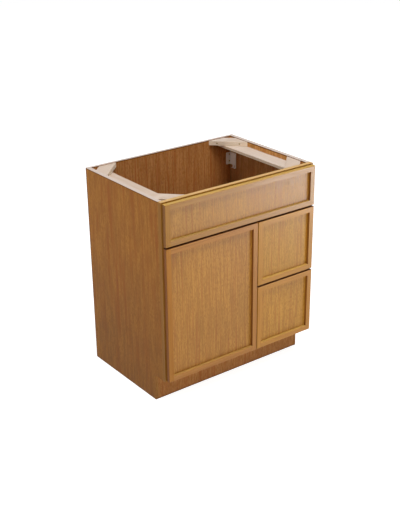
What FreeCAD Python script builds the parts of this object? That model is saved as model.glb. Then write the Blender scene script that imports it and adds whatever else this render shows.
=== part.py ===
import FreeCAD, Part
import os
import re
import Sketcher

# A vanity base cabinet with a face frame, a fixed false front across the top, one door at the
# left and two drawers at the right. The top is open, for a vanity top with its basin.
# X runs from left to right, Y from the fronts to the back, Z up. The origin is on the floor,
# in the middle of the cabinet's outer box.

# Sizes in millimetres, each one set by itself.
sizes = {
    # the case
    "cabinet_width": 762.0,
    "cabinet_height": 876.3,
    "cabinet_depth": 533.4,
    "side_thickness": 18.0,
    "back_thickness": 12.0,
    "floor_thickness": 15.0,
    "kick_height": 114.3,
    "kick_depth": 73.0,
    "kick_thickness": 15.0,
    "housing_depth": 6.0,
    # boards and blocks under the open top
    "stringer_width": 71.0,
    "stringer_thickness": 12.0,
    "brace_leg": 121.0,
    "brace_corner_width": 39.0,
    "brace_thickness": 20.0,
    "brace_drop": 3.0,
    "brace_screw_inset": 36.0,
    # face frame
    "frame_thickness": 19.0,
    "stile_width": 38.1,
    "rail_width": 38.1,
    "tenon_length": 15.0,
    "tenon_thickness": 8.0,
    "tenon_shoulder": 5.0,
    "tenon_play": 0.5,
    # the fronts and how they lie over the frame
    "front_thickness": 19.0,
    "bumper_gap": 1.5,
    "side_reveal": 5.3,
    "top_reveal": 5.6,
    "bottom_reveal": 6.4,
    "false_height": 169.5,
    "row_gap": 7.5,
    "column_gap": 3.5,
    "door_width": 449.5,
    "lower_front_height": 285.6,
    # borders and panels of the fronts
    "border_width": 22.5,
    "panel_recess": 11.5,
    "tongue_thickness": 4.5,
    "slot_depth": 8.0,
    "tongue_play": 1.0,
    "panel_play": 0.5,
    "front_edge_radius": 1.6,
    # drawer boxes
    "box_wall": 15.0,
    "box_clearance": 5.0,
    "box_lift": 14.0,
    "box_headroom": 40.0,
    "box_rear_space": 65.9,
    "box_bottom_thickness": 6.0,
    "box_bottom_recess": 13.0,
    "box_groove_depth": 6.0,
    "runner_notch_width": 23.0,
    # telescopic runners
    "runner_inset": 21.0,
    "runner_width": 16.0,
    "runner_height": 12.0,
    "runner_wall": 1.4,
    "runner_gap": 0.4,
    "runner_lift": 3.0,
    "runner_tab_width": 17.0,
    "runner_tab_height": 30.0,
    "runner_tab_length": 30.0,
    "runner_tab_screw": 20.0,
    "runner_ear_length": 26.0,
    "middle_setback": 2.0,
    "middle_shortfall": 50.0,
    # rear brackets of the runners
    "bracket_width": 25.0,
    "bracket_depth": 42.0,
    "bracket_height": 56.0,
    "bracket_thickness": 2.5,
    "finger_length": 13.0,
    "finger_width": 8.0,
    "finger_spacing": 14.0,
    "finger_hook": 6.0,
    "bracket_screw_inset": 7.0,
    "bracket_screw_low": 15.0,
    "bracket_screw_high": 46.0,
    "spare_bracket_rise": 15.5,
    "bracket_corner_radius": 4.0,
    # concealed hinges
    "hinge_inset": 91.0,
    "cup_radius": 17.5,
    "cup_depth": 6.0,
    "cup_wall": 1.2,
    "cup_fit": 0.1,
    "cup_offset": 22.5,
    "rim_width": 1.0,
    "ear_width": 22.0,
    "ear_height": 54.0,
    "ear_thickness": 1.0,
    "plate_height": 50.0,
    "plate_thickness": 2.0,
    "plate_inset": 1.5,
    "plate_screw_spacing": 34.0,
    "nose_radius": 2.0,
    "nose_height": 8.0,
    "nose_reach": 3.0,
    "nose_offset": 2.9,
    "link_length": 16.0,
    "link_width": 2.8,
    "link_height": 2.6,
    "link_gap": 0.3,
    "pin_radius": 0.8,
    "pin_fit": 0.05,
    # bumpers and screws
    "bumper_radius": 4.0,
    "bumper_inset": 11.0,
    "bumper_clearance": 0.3,
    "screw_radius": 1.75,
    "screw_head_radius": 3.6,
    "screw_head_height": 1.8,
    "screw_head_room": 0.4,
    "screw_crown_radius": 2.4,
    "screw_fit": 0.05,
    "screw_tip_room": 0.5,
    "brace_screw_length": 46.0,
    "bracket_screw_length": 13.0,
    "plate_screw_length": 18.0,
    "tab_screw_length": 14.0,
    "front_screw_bite": 12.0,
    "false_screw_inset": 7.8,
    "false_screw_spread": 362.0,
    "box_screw_length": 20.0,
    "box_screw_inset": 32.0,
    # how far a cut runs past the face that it opens
    "cut_overrun": 5.0,
}
tail_count = 5
tail_neck_share = 0.22
tail_end_share = 0.31
box_screw_shares = (0.2, 0.8)
link_angle = 180.0
quarter_angle = 90.0
tolerance = 1e-4
digits = 6

doc = FreeCAD.newDocument("vanity_base")
sheet = doc.addObject("Spreadsheet::Sheet", "dims")
for row, (alias, value) in enumerate(sizes.items(), start=1):
    sheet.set(f"A{row}", alias)
    sheet.set(f"B{row}", str(value))
    sheet.setAlias(f"B{row}", alias)
doc.recompute()

nodes = []
places = {}


# Expressions. Every size and place below is a text in the sheet's names.

def cells(text):
    """Points each name in an expression at its cell in the sheet."""
    return re.sub(r"[a-z]+(?:_[a-z]+)+", r"dims.\g<0>", text)


def number(text):
    """The value that an expression has now."""
    return float(sheet.evalExpression(cells(text)))


def bind(thing, prop, text):
    thing.setExpression(prop, cells(text))


def turned(axis, angle):
    return FreeCAD.Rotation(FreeCAD.Vector(*axis), angle)


to_front = turned((1, 0, 0), quarter_angle)
to_back = turned((1, 0, 0), -quarter_angle)
to_left = turned((0, 1, 0), -quarter_angle)
to_corner = turned((1, -1, 0), quarter_angle)
upright = FreeCAD.Rotation()


def place(thing, at, rotation=upright):
    """Turns an object and binds its place."""
    thing.Placement = FreeCAD.Placement(FreeCAD.Vector(), rotation)
    for letter, text in zip("xyz", at):
        bind(thing, f"Placement.Base.{letter}", text)


# Building blocks of the bodies.

def new_body(name, at, rotation=upright, keep=True):
    body = doc.addObject("PartDesign::Body", name)
    body.Label = name
    place(body, at, rotation)
    places[name] = at
    if keep:
        nodes.append(body)
    return body


def block(body, kind, name, size, at=("0", "0", "0")):
    """Adds a block to a body, or cuts one out, from its size and its low corner."""
    feature = body.newObject(f"PartDesign::{kind}Box", name)
    for prop, text in zip(("Length", "Width", "Height"), size):
        bind(feature, prop, text)
    for letter, text in zip("xyz", at):
        bind(feature, f"Placement.Base.{letter}", text)
    return feature


def rod(body, kind, name, radius, length, at=("0", "0", "0"), rotation=upright):
    """Adds or cuts a cylinder, which runs up Z before it is turned."""
    feature = body.newObject(f"PartDesign::{kind}Cylinder", name)
    bind(feature, "Radius", radius)
    bind(feature, "Height", length)
    place(feature, at, rotation)
    return feature


def board(name, size, at):
    """A plain rectangular board, from its low corner."""
    body = new_body(name, at)
    block(body, "Additive", f"{name}_blank", size)
    return body


def outline(body, name, plane, loops, offset="0"):
    """A sketch of closed outlines whose corners are bound to the sheet."""
    sketch = body.newObject("Sketcher::SketchObject", name)
    support = next(item for item in body.Origin.OriginFeatures if item.Role == f"{plane}_Plane")
    sketch.AttachmentSupport = [(support, "")]
    sketch.MapMode = "FlatFace"
    if offset != "0":
        bind(sketch, "AttachmentOffset.Base.z", offset)
    for points in loops:
        first = sketch.GeometryCount
        corners = [FreeCAD.Vector(number(u), number(v), 0) for u, v in points]
        count = len(corners)
        for index in range(count):
            sketch.addGeometry(Part.LineSegment(corners[index], corners[(index + 1) % count]), False)
        for index in range(count):
            this, following = first + index, first + (index + 1) % count
            sketch.addConstraint(Sketcher.Constraint("Coincident", this, 2, following, 1))
        for index, (u, v) in enumerate(points):
            fix_corner(sketch, first + index, "DistanceX", -2, u)
            fix_corner(sketch, first + index, "DistanceY", -1, v)
    return sketch


def fix_corner(sketch, line, kind, axis, text):
    """Holds a line's start on an axis, or at a bound distance from it."""
    if text == "0":
        sketch.addConstraint(Sketcher.Constraint("PointOnObject", line, 1, axis))
        return
    index = sketch.addConstraint(Sketcher.Constraint(kind, -1, 1, line, 1, number(text)))
    bind(sketch, f"Constraints[{index}]", text)


def extrude(body, kind, name, sketch, length, backwards=False):
    """Pads a sketch, or pockets it, along its plane's normal or against it."""
    feature = body.newObject(f"PartDesign::{kind}", name)
    feature.Profile = sketch
    bind(feature, "Length", length)
    feature.Reversed = backwards
    return feature


def round_edges(body, name, radius, chosen):
    """Fillets the edges of a body that a test picks by their place."""
    doc.recompute()
    base = body.Tip
    names = [f"Edge{n}" for n, edge in enumerate(base.Shape.Edges, start=1) if chosen(edge)]
    feature = body.newObject("PartDesign::Fillet", name)
    feature.Base = (base, names)
    bind(feature, "Radius", radius)
    return feature


def lies_at(edge, letter, text):
    """Whether every end of an edge has the given coordinate."""
    wanted = number(text)
    return all(abs(getattr(vertex.Point, letter) - wanted) < tolerance for vertex in edge.Vertexes)


def mirrored(name, source, middle, keep=True):
    """The same piece turned into its other hand, across a plane that faces X."""
    twin = doc.addObject("Part::Mirroring", name)
    twin.Label = name
    twin.Source = source
    twin.Normal = FreeCAD.Vector(1, 0, 0)
    bind(twin, "Base.x", middle)
    if keep:
        nodes.append(twin)
    return twin


def group(name, members):
    """Several like pieces that share one node as separate solids."""
    bundle = doc.addObject("Part::Compound", name)
    bundle.Label = name
    bundle.Links = members
    nodes.append(bundle)
    return bundle


def flipped(points, width):
    """An outline turned left for right within a width."""
    def other(text):
        if text == width:
            return "0"
        return width if text == "0" else f"{width} - ({text})"
    return [(other(u), v) for u, v in points]


# Places that many pieces share, as texts.
left_x = "-cabinet_width / 2"
right_x = "cabinet_width / 2"
frame_front = "(front_thickness + bumper_gap - cabinet_depth) / 2"
frame_back = f"{frame_front} + frame_thickness"
back_inner = f"{frame_front} + cabinet_depth - back_thickness"
front_face = f"{frame_front} - bumper_gap - front_thickness"
front_back = f"{frame_front} - bumper_gap"
side_depth = "(cabinet_depth - frame_thickness)"
inner_depth = "(cabinet_depth - frame_thickness - back_thickness)"
housed_width = "(cabinet_width - 2 * side_thickness + 2 * housing_depth)"
floor_low = "(kick_height + rail_width - floor_thickness)"
notch_y = "(kick_depth - frame_thickness)"
fronts_low = "(kick_height + bottom_reveal)"
false_low = "(cabinet_height - top_reveal - false_height)"
doors_top = f"({false_low} - row_gap)"
lower_top = f"({fronts_low} + lower_front_height)"
upper_low = f"({lower_top} + row_gap)"
false_x = f"({left_x} + side_reveal)"
false_width = "(cabinet_width - 2 * side_reveal)"
column_x = f"({false_x} + door_width + column_gap / 2)"
drawer_x = f"({column_x} + column_gap / 2)"
drawer_width = f"({right_x} - side_reveal - {drawer_x})"
opening_left = f"({column_x} + stile_width / 2)"
opening_right = f"({right_x} - stile_width)"
opening_middle = f"(({opening_left} + {opening_right}) / 2)"
rail_lows = {
    "rail_top": "(cabinet_height - rail_width)",
    "rail_middle": f"({doors_top} + row_gap / 2 - rail_width / 2)",
    "rail_drawer": f"({lower_top} + row_gap / 2 - rail_width / 2)",
    "rail_bottom": "kick_height",
}
opening_lows = {
    "drawer_1": f"({rail_lows['rail_drawer']} + rail_width)",
    "drawer_2": f"({rail_lows['rail_bottom']} + rail_width)",
}
opening_highs = {"drawer_1": rail_lows["rail_middle"], "drawer_2": rail_lows["rail_drawer"]}


def across(x):
    """The same place on the other side of the drawers' opening."""
    return f"2 * {opening_middle} - ({x})"


# Case.

def make_case():
    left = new_body("side_left", (left_x, frame_back, "0"))
    shape = [(notch_y, "0"), (side_depth, "0"), (side_depth, "cabinet_height"), ("0", "cabinet_height"),
             ("0", "kick_height"), (notch_y, "kick_height")]
    sketch = outline(left, "side_outline", "YZ", [shape])
    extrude(left, "Pad", "side_board", sketch, "side_thickness")
    inner = "side_thickness - housing_depth"
    depth = "housing_depth + cut_overrun"
    block(left, "Subtractive", "floor_housing",
          (depth, f"{inner_depth} + cut_overrun", "floor_thickness"), (inner, "-cut_overrun", floor_low))
    block(left, "Subtractive", "back_rebate",
          (depth, "back_thickness + cut_overrun", "cabinet_height + 2 * cut_overrun"),
          (inner, inner_depth, "-cut_overrun"))
    block(left, "Subtractive", "kick_housing",
          (depth, "kick_thickness", f"{floor_low} + cut_overrun"), (inner, notch_y, "-cut_overrun"))
    mirrored("side_right", left, "0")

    board("back_panel", (housed_width, "back_thickness", "cabinet_height"),
          (f"-{housed_width} / 2", back_inner, "0"))
    board("floor_panel", (housed_width, inner_depth, "floor_thickness"),
          (f"-{housed_width} / 2", frame_back, floor_low))
    board("kick_board", (housed_width, "kick_thickness", floor_low),
          (f"-{housed_width} / 2", f"{frame_front} + kick_depth", "0"))
    stringer_low = f"{brace_low} - stringer_thickness"
    size = ("stringer_width", inner_depth, "stringer_thickness")
    board("stringer_left", size, (f"{left_x} + side_thickness", frame_back, stringer_low))
    board("stringer_right", size,
          (f"{right_x} - side_thickness - stringer_width", frame_back, stringer_low))


brace_low = "(cabinet_height - brace_drop - brace_thickness)"
brace_corners = {
    "front_left": (f"{left_x} + side_thickness", frame_back),
    "front_right": (f"{right_x} - side_thickness", frame_back),
    "back_right": (f"{right_x} - side_thickness", back_inner),
    "back_left": (f"{left_x} + side_thickness", back_inner),
}


def brace_screw_places(out):
    """Where the two screws meet a block's long face, moved out along them."""
    near = f"(brace_screw_inset + {out}) / sqrt(2)"
    far = f"brace_leg - (brace_screw_inset - ({out})) / sqrt(2)"
    return [(near, far), (far, near)]


def make_braces():
    """A block across each corner under the rim, with two screws at right angles to its long face."""
    shape = [("brace_corner_width", "0"), ("brace_leg", "0"), ("0", "brace_leg"),
             ("0", "brace_corner_width")]
    braces = []
    for quarter, (corner, (x, y)) in enumerate(brace_corners.items()):
        name = f"brace_{corner}"
        brace = new_body(name, (x, y, brace_low), turned((0, 0, 1), quarter * quarter_angle), False)
        sketch = outline(brace, f"{name}_outline", "XY", [shape])
        extrude(brace, "Pad", f"{name}_block", sketch, "brace_thickness")
        for count, (u, v) in enumerate(brace_screw_places("cut_overrun")):
            rod(brace, "Subtractive", f"{name}_hole_{count}", "screw_radius + screw_fit", "brace_leg",
                (u, v, "brace_thickness / 2"), to_corner)
            rod(brace, "Subtractive", f"{name}_recess_{count}", "screw_head_radius + screw_head_room",
                "cut_overrun + screw_head_height", (u, v, "brace_thickness / 2"), to_corner)
        braces.append(brace)
    group("corner_braces", braces)


# Face frame. Each rail has a tenon on both ends, and the stiles are mortised for them.

tenon_y = "(frame_thickness - tenon_thickness) / 2"
mortise_depth = "(tenon_length + tenon_play)"


def make_rail(name, length, x):
    rail = board(name, (length, "frame_thickness", "rail_width"), (x, frame_front, rail_lows[name]))
    block(rail, "Additive", f"{name}_tenons",
          (f"{length} + 2 * tenon_length", "tenon_thickness", "rail_width - 2 * tenon_shoulder"),
          ("-tenon_length", tenon_y, "tenon_shoulder"))
    return rail


def mortise(stile, rail, x, base):
    """A pocket in a stile's edge for a rail's tenon."""
    block(stile, "Subtractive", f"{stile.Name}_{rail}_mortise",
          (f"{mortise_depth} + cut_overrun", "tenon_thickness", "rail_width - 2 * tenon_shoulder"),
          (x, tenon_y, f"{rail_lows[rail]} - {base} + tenon_shoulder"))


def make_face_frame():
    height = "cabinet_height - kick_height"
    left = board("stile_left", ("stile_width", "frame_thickness", height),
                 (left_x, frame_front, "kick_height"))
    right = board("stile_right", ("stile_width", "frame_thickness", height),
                  (opening_right, frame_front, "kick_height"))
    for rail in ("rail_top", "rail_middle", "rail_bottom"):
        mortise(left, rail, f"stile_width - {mortise_depth}", "kick_height")
    for rail in rail_lows:
        mortise(right, rail, "-cut_overrun", "kick_height")

    length = "(cabinet_width - 2 * stile_width)"
    rails = {name: make_rail(name, length, f"{left_x} + stile_width")
             for name in ("rail_top", "rail_middle", "rail_bottom")}
    make_rail("rail_drawer", f"({opening_right} - {opening_left})", opening_left)

    centre_x = f"({column_x} - stile_width / 2)"
    centre_low = f"({rail_lows['rail_bottom']} + rail_width)"
    clear = f"({rail_lows['rail_middle']} - {centre_low})"
    centre = board("stile_centre", ("stile_width", "frame_thickness", clear),
                   (centre_x, frame_front, centre_low))
    block(centre, "Additive", "stile_centre_tenons",
          ("stile_width - 2 * tenon_shoulder", "tenon_thickness", f"{clear} + 2 * tenon_length"),
          ("tenon_shoulder", tenon_y, "-tenon_length"))
    mortise(centre, "rail_drawer", f"stile_width - {mortise_depth}", centre_low)
    for name, low in (("rail_middle", "-cut_overrun"), ("rail_bottom", f"rail_width - {mortise_depth}")):
        block(rails[name], "Subtractive", f"{name}_mortise",
              ("stile_width - 2 * tenon_shoulder", "tenon_thickness", f"{mortise_depth} + cut_overrun"),
              (f"{centre_x} - ({left_x} + stile_width) + tenon_shoulder", tenon_y, low))


# Fronts: two stiles and two rails with a slot all round the inside, and a recessed panel
# whose tongue sits in the slot. The panel's back is level with the border's back.

slot_back = "(panel_recess + tongue_thickness)"
slot_floor = "(border_width - slot_depth)"
border_section = [("0", "0"), ("border_width", "0"), ("border_width", "panel_recess"),
                  (slot_floor, "panel_recess"), (slot_floor, slot_back), ("border_width", slot_back),
                  ("border_width", "front_thickness"), ("0", "front_thickness")]


def make_front(name, x, z, width, height):
    """One front, from its low left corner. Returns its left stile and its panel."""
    turned_over = flipped(border_section, "border_width")
    stiles = {}
    right_at = f"{x} + {width} - border_width"
    for hand, at, section, outer in (("left", x, border_section, "0"),
                                     ("right", right_at, turned_over, "border_width")):
        stile = new_body(f"{name}_stile_{hand}", (at, front_face, z))
        sketch = outline(stile, f"{name}_{hand}_section", "XY", [section])
        extrude(stile, "Pad", f"{name}_{hand}_length", sketch, height)
        round_edges(stile, f"{name}_{hand}_easing", "front_edge_radius",
                    lambda edge, outer=outer: lies_at(edge, "y", "0") and (
                        lies_at(edge, "x", outer) or lies_at(edge, "z", "0") or lies_at(edge, "z", height)))
        stiles[hand] = stile

    between = f"({width} - 2 * border_width)"
    tenon = "(slot_depth - tongue_play)"
    for hand, at, section, outer, low in (
            ("bottom", z, border_section, "0", "0"),
            ("top", f"{z} + {height} - border_width", turned_over, "border_width", "slot_depth")):
        rail = new_body(f"{name}_rail_{hand}", (f"{x} + border_width", front_face, at))
        sketch = outline(rail, f"{name}_{hand}_section", "YZ", [[(v, u) for u, v in section]])
        extrude(rail, "Pad", f"{name}_{hand}_length", sketch, between)
        round_edges(rail, f"{name}_{hand}_easing", "front_edge_radius",
                    lambda edge, outer=outer: lies_at(edge, "y", "0") and lies_at(edge, "z", outer))
        block(rail, "Additive", f"{name}_{hand}_tongues",
              (f"{between} + 2 * {tenon}", "tongue_thickness", slot_floor),
              (f"-{tenon}", "panel_recess", low))

    panel = new_body(f"{name}_panel", (f"{x} + border_width", front_face, f"{z} + border_width"))
    inside = f"({height} - 2 * border_width)"
    block(panel, "Additive", f"{name}_panel_back",
          (f"{between} - 2 * panel_play", "front_thickness - panel_recess", f"{inside} - 2 * panel_play"),
          ("panel_play", "panel_recess", "panel_play"))
    block(panel, "Additive", f"{name}_panel_tongue",
          (f"{between} + 2 * {tenon}", "tongue_thickness", f"{inside} + 2 * {tenon}"),
          (f"-{tenon}", "panel_recess", f"-{tenon}"))
    return stiles["left"], panel


# Hinges. A shallow cup is pressed into the door's back, a plate with a forked nose is screwed
# to the left stile's inner edge, and a link turns on the nose's pin and reaches into the cup.

hinge_heights = {
    "low": f"({fronts_low} + hinge_inset)",
    "high": f"({doors_top} - hinge_inset)",
}
pan_depth = "(cup_depth - cup_fit)"


def bore_for_cups(body):
    for hand, height in hinge_heights.items():
        x, y, z = places[body.Name]
        at = (f"{false_x} + cup_offset - ({x})", "front_thickness + cut_overrun", f"{height} - ({z})")
        rod(body, "Subtractive", f"{body.Name}_bore_{hand}", "cup_radius + cup_fit",
            "cup_depth + cut_overrun", at, to_front)


def make_cup(name, height):
    cup = new_body(name, (f"{false_x} + cup_offset", front_back, height), keep=False)
    rod(cup, "Additive", f"{name}_pan", "cup_radius", pan_depth, rotation=to_front)
    rod(cup, "Additive", f"{name}_rim", "cup_radius + rim_width", "ear_thickness",
        ("0", "ear_thickness", "0"), to_front)
    block(cup, "Additive", f"{name}_ears", ("ear_width", "ear_thickness", "ear_height"),
          ("-ear_width / 2", "0", "-ear_height / 2"))
    rod(cup, "Subtractive", f"{name}_hollow", "cup_radius - cup_wall",
        f"ear_thickness + cut_overrun + {pan_depth} - cup_wall",
        ("0", "ear_thickness + cut_overrun", "0"), to_front)
    return cup


def make_arm(name, height):
    arm = new_body(name, (f"{left_x} + stile_width", frame_front, height), keep=False)
    block(arm, "Additive", f"{name}_plate",
          ("plate_thickness", "frame_thickness - 2 * plate_inset", "plate_height"),
          ("0", "plate_inset", "-plate_height / 2"))
    block(arm, "Additive", f"{name}_neck",
          ("2 * nose_radius", "nose_reach + 2 * plate_inset", "nose_height"),
          ("nose_offset - nose_radius", "-nose_reach", "-nose_height / 2"))
    nose = ("nose_offset", "-nose_reach", "-nose_height / 2")
    rod(arm, "Additive", f"{name}_nose", "nose_radius", "nose_height", nose)
    block(arm, "Subtractive", f"{name}_slot",
          ("2 * nose_radius + 2 * cut_overrun", "nose_radius + nose_reach + cut_overrun",
           "link_height + 2 * link_gap"),
          ("nose_offset - nose_radius - cut_overrun", "-nose_reach - nose_radius - cut_overrun",
           "-link_height / 2 - link_gap"))
    rod(arm, "Additive", f"{name}_pin", "pin_radius", "nose_height", nose)
    return arm


def make_link(name, height):
    link = new_body(name, (f"{left_x} + stile_width + nose_offset", f"{frame_front} - nose_reach", height),
                    turned((0, 0, 1), link_angle), False)
    low = "-link_height / 2"
    rod(link, "Additive", f"{name}_root", "link_width / 2", "link_height", ("0", "0", low))
    rod(link, "Additive", f"{name}_tip", "link_width / 2", "link_height", ("link_length", "0", low))
    block(link, "Additive", f"{name}_bar", ("link_length", "link_width", "link_height"),
          ("0", "-link_width / 2", low))
    rod(link, "Subtractive", f"{name}_bore", "pin_radius + pin_fit", "link_height + 2 * cut_overrun",
        ("0", "0", f"{low} - cut_overrun"))
    return link


def make_hinges(stile):
    """Both hinges, with the screws of their plates in the frame's stile."""
    screws, arms, cups, links = [], [], [], []
    for hand, height in hinge_heights.items():
        arm = make_arm(f"hinge_arm_{hand}", height)
        for spot, sign in (("low", "-"), ("high", "+")):
            at = (f"{left_x} + stile_width + plate_thickness", f"{frame_front} + frame_thickness / 2",
                  f"{height} {sign} plate_screw_spacing / 2")
            screws.append(screw(f"hinge_screw_{hand}_{spot}", "plate_screw_length", at, to_left,
                                [arm, stile]))
        arms.append(arm)
        cups.append(make_cup(f"hinge_cup_{hand}", height))
        links.append(make_link(f"hinge_link_{hand}", height))
    group("hinge_cups", cups)
    group("hinge_arms", arms)
    group("hinge_links", links)
    return screws


# Drawer boxes, dovetailed at all four corners.

box_length = "(cabinet_depth - back_thickness + bumper_gap - box_rear_space)"
box_width = f"({opening_right} - {opening_left} - 2 * box_clearance)"
box_back = f"({box_length} - box_wall)"
groove_start = "(box_wall - box_groove_depth)"


def tail_levels(tall):
    """The middle of each dovetail above the runners' notches, with its half heights at neck and end."""
    pitch = f"({tall} - box_bottom_recess) / {tail_count}"
    return [(f"(box_bottom_recess + ({index} + 0.5) * {pitch})", f"{tail_neck_share} * {pitch}",
             f"{tail_end_share} * {pitch}") for index in range(tail_count)]


def make_box_sides(name, x, y, z, tall):
    tails = tail_levels(tall)
    shape = [("box_wall", "0"), (box_back, "0")]
    for middle, neck, end in tails:
        shape += [(box_back, f"{middle} - {neck}"), (box_length, f"{middle} - {end}"),
                  (box_length, f"{middle} + {end}"), (box_back, f"{middle} + {neck}")]
    shape += [(box_back, tall), ("box_wall", tall)]
    for middle, neck, end in reversed(tails):
        shape += [("box_wall", f"{middle} + {neck}"), ("0", f"{middle} + {end}"),
                  ("0", f"{middle} - {end}"), ("box_wall", f"{middle} - {neck}")]
    side = new_body(f"{name}_side_left", (x, y, z))
    sketch = outline(side, f"{name}_side_outline", "YZ", [shape])
    extrude(side, "Pad", f"{name}_side_board", sketch, "box_wall")
    block(side, "Subtractive", f"{name}_side_groove",
          ("box_groove_depth + cut_overrun", f"{box_length} - 2 * {groove_start}", "box_bottom_thickness"),
          (groove_start, groove_start, "box_bottom_recess"))
    mirrored(f"{name}_side_right", side, opening_middle)


def make_box_end(name, x, y, z, tall, wide, narrow, groove_y):
    """The front or the back board, with a socket for each tail and a groove for the bottom."""
    end_board = board(name, (box_width, "box_wall", tall), (x, y, z))
    sockets = [[(wide, f"{middle} - {end}"), (wide, f"{middle} + {end}"),
                (narrow, f"{middle} + {neck}"), (narrow, f"{middle} - {neck}")]
               for middle, neck, end in tail_levels(tall)]
    for hand, offset in (("left", "0"), ("right", f"{box_width} - box_wall")):
        sketch = outline(end_board, f"{name}_{hand}_sockets", "YZ", sockets, offset)
        extrude(end_board, "Pocket", f"{name}_{hand}_cut", sketch, "box_wall", True)
    block(end_board, "Subtractive", f"{name}_groove",
          (f"{box_width} - 2 * {groove_start}", "box_groove_depth + cut_overrun", "box_bottom_thickness"),
          (groove_start, groove_y, "box_bottom_recess"))
    return end_board


def make_box(name, panel):
    """One drawer's box, screwed to its front's panel from inside."""
    x = f"({opening_left} + box_clearance)"
    z = f"({opening_lows[name]} + box_lift)"
    tall = f"({opening_highs[name]} - {z} - box_headroom)"
    make_box_sides(name, x, front_back, z, tall)
    front = make_box_end(f"{name}_front", x, front_back, z, tall, "0", "box_wall", groove_start)
    back = make_box_end(f"{name}_back", x, f"{front_back} + {box_back}", z, tall, "box_wall", "0",
                        "-cut_overrun")
    for hand, at in (("left", "box_wall"), ("right", f"{box_width} - box_wall - runner_notch_width")):
        block(back, "Subtractive", f"{name}_notch_{hand}",
              ("runner_notch_width", "box_wall + 2 * cut_overrun", "box_bottom_recess + cut_overrun"),
              (at, "-cut_overrun", "-cut_overrun"))
    board(f"{name}_bottom",
          (f"{box_width} - 2 * {groove_start}", f"{box_length} - 2 * {groove_start}",
           "box_bottom_thickness"),
          (f"{x} + {groove_start}", f"{front_back} + {groove_start}", f"{z} + box_bottom_recess"))
    above = "box_bottom_recess + box_bottom_thickness"
    screws = []
    for hand, at in (("left", f"{x} + box_wall + box_screw_inset"),
                     ("right", f"{x} + {box_width} - box_wall - box_screw_inset")):
        for level, share in zip(("low", "high"), box_screw_shares):
            height = f"{z} + {above} + {share} * ({tall} - ({above}))"
            screws.append(screw(f"{name}_screw_{hand}_{level}", "box_screw_length",
                                (at, f"{front_back} + box_wall", height), to_front, [front, panel]))
    group(f"{name}_screws", screws)


# Telescopic runners. A U-shaped member stays in the case, a second U slides in it at half the
# drawer's travel, and an inverted U under the drawer's bottom slides in that one.

member_step = "(runner_wall + runner_gap)"
runner_length = f"({inner_depth} - bracket_depth + finger_spacing + finger_width)"
middle_width = f"(runner_width - 2 * {member_step})"
cap_top = "(box_lift + box_bottom_recess)"
cap_leg = f"(2 * {member_step})"
cap_height = f"({cap_top} - runner_lift - {cap_leg})"
middle_height = f"({cap_top} - runner_wall - runner_gap - runner_lift - {member_step})"
outboard = "(stile_width - side_thickness)"


def channel(width, height):
    """A U section that is open at the top."""
    inner = f"{width} - runner_wall"
    return [("0", "0"), (width, "0"), (width, height), (inner, height), (inner, "runner_wall"),
            ("runner_wall", "runner_wall"), ("runner_wall", height), ("0", height)]


def cap_section():
    """An inverted U with a lip out to each side."""
    left, right = cap_leg, f"runner_width - {cap_leg}"
    under = f"{cap_height} - runner_wall"
    return [(left, "0"), (f"{left} + runner_wall", "0"), (f"{left} + runner_wall", under),
            (f"{right} - runner_wall", under), (f"{right} - runner_wall", "0"), (right, "0"),
            (right, under), ("runner_width", under), ("runner_width", cap_height),
            ("0", cap_height), ("0", under), (left, under)]


def along_y(name, section, length, at):
    """A section carried back along Y, for a group."""
    body = new_body(name, at, keep=False)
    sketch = outline(body, f"{name}_section", "XZ", [section])
    extrude(body, "Pad", f"{name}_length", sketch, length, True)
    return body


def pair(body):
    return [body, mirrored(f"{body.Name}_twin", body, opening_middle, False)]


def make_runners(stiles):
    """Both drawers' runners. Returns the screws that hold their tabs to the frame's stiles."""
    fixed, screws = [], []
    for name, opening_low in opening_lows.items():
        x = f"({opening_left} + runner_inset)"
        low = f"{opening_low} + runner_lift"
        case_member = along_y(f"{name}_case_member", channel("runner_width", "runner_height"),
                              runner_length, (x, frame_back, low))
        tab_x = "-runner_inset - runner_tab_width"
        block(case_member, "Additive", f"{name}_tab_bridge",
              ("runner_tab_width + runner_inset + runner_wall", "runner_tab_length", "runner_wall"),
              (tab_x, "0", "0"))
        block(case_member, "Additive", f"{name}_tab",
              ("runner_tab_width", "runner_wall", "runner_tab_height"), (tab_x, "0", "0"))
        ear_reach = f"({outboard} - bracket_thickness - runner_gap)"
        block(case_member, "Additive", f"{name}_ear",
              (f"{ear_reach} + runner_inset + runner_wall", "runner_ear_length", "runner_wall"),
              (f"-runner_inset - {ear_reach}", f"{runner_length} - runner_ear_length", "0"))
        hole_x = f"{opening_left} - runner_tab_width / 2"
        for hand, at, bodies in (("left", hole_x, [case_member, stiles[0]]),
                                 ("right", across(hole_x), [stiles[1]])):
            screws.append(screw(f"{name}_tab_screw_{hand}", "tab_screw_length",
                                (at, f"{frame_back} + runner_wall", f"{low} + runner_tab_screw"),
                                to_front, bodies))
        fixed += pair(case_member)
        middle = along_y(f"{name}_middle_member", channel(middle_width, middle_height),
                         f"{runner_length} - middle_shortfall",
                         (f"{x} + {member_step}", f"{frame_back} + middle_setback",
                          f"{low} + {member_step}"))
        group(f"{name}_middle_runners", pair(middle))
        cap = along_y(f"{name}_cap_member", cap_section(), f"{box_length} - box_wall",
                      (x, f"{front_back} + box_wall", f"{low} + {cap_leg}"))
        group(f"{name}_runners", pair(cap))
    group("case_runners", fixed)
    return screws


# Rear brackets. An angle on the back panel with two hooked fingers that hold a runner's ear.
# A third right-hand one is fitted above the drawers, with no runner in it.

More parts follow.
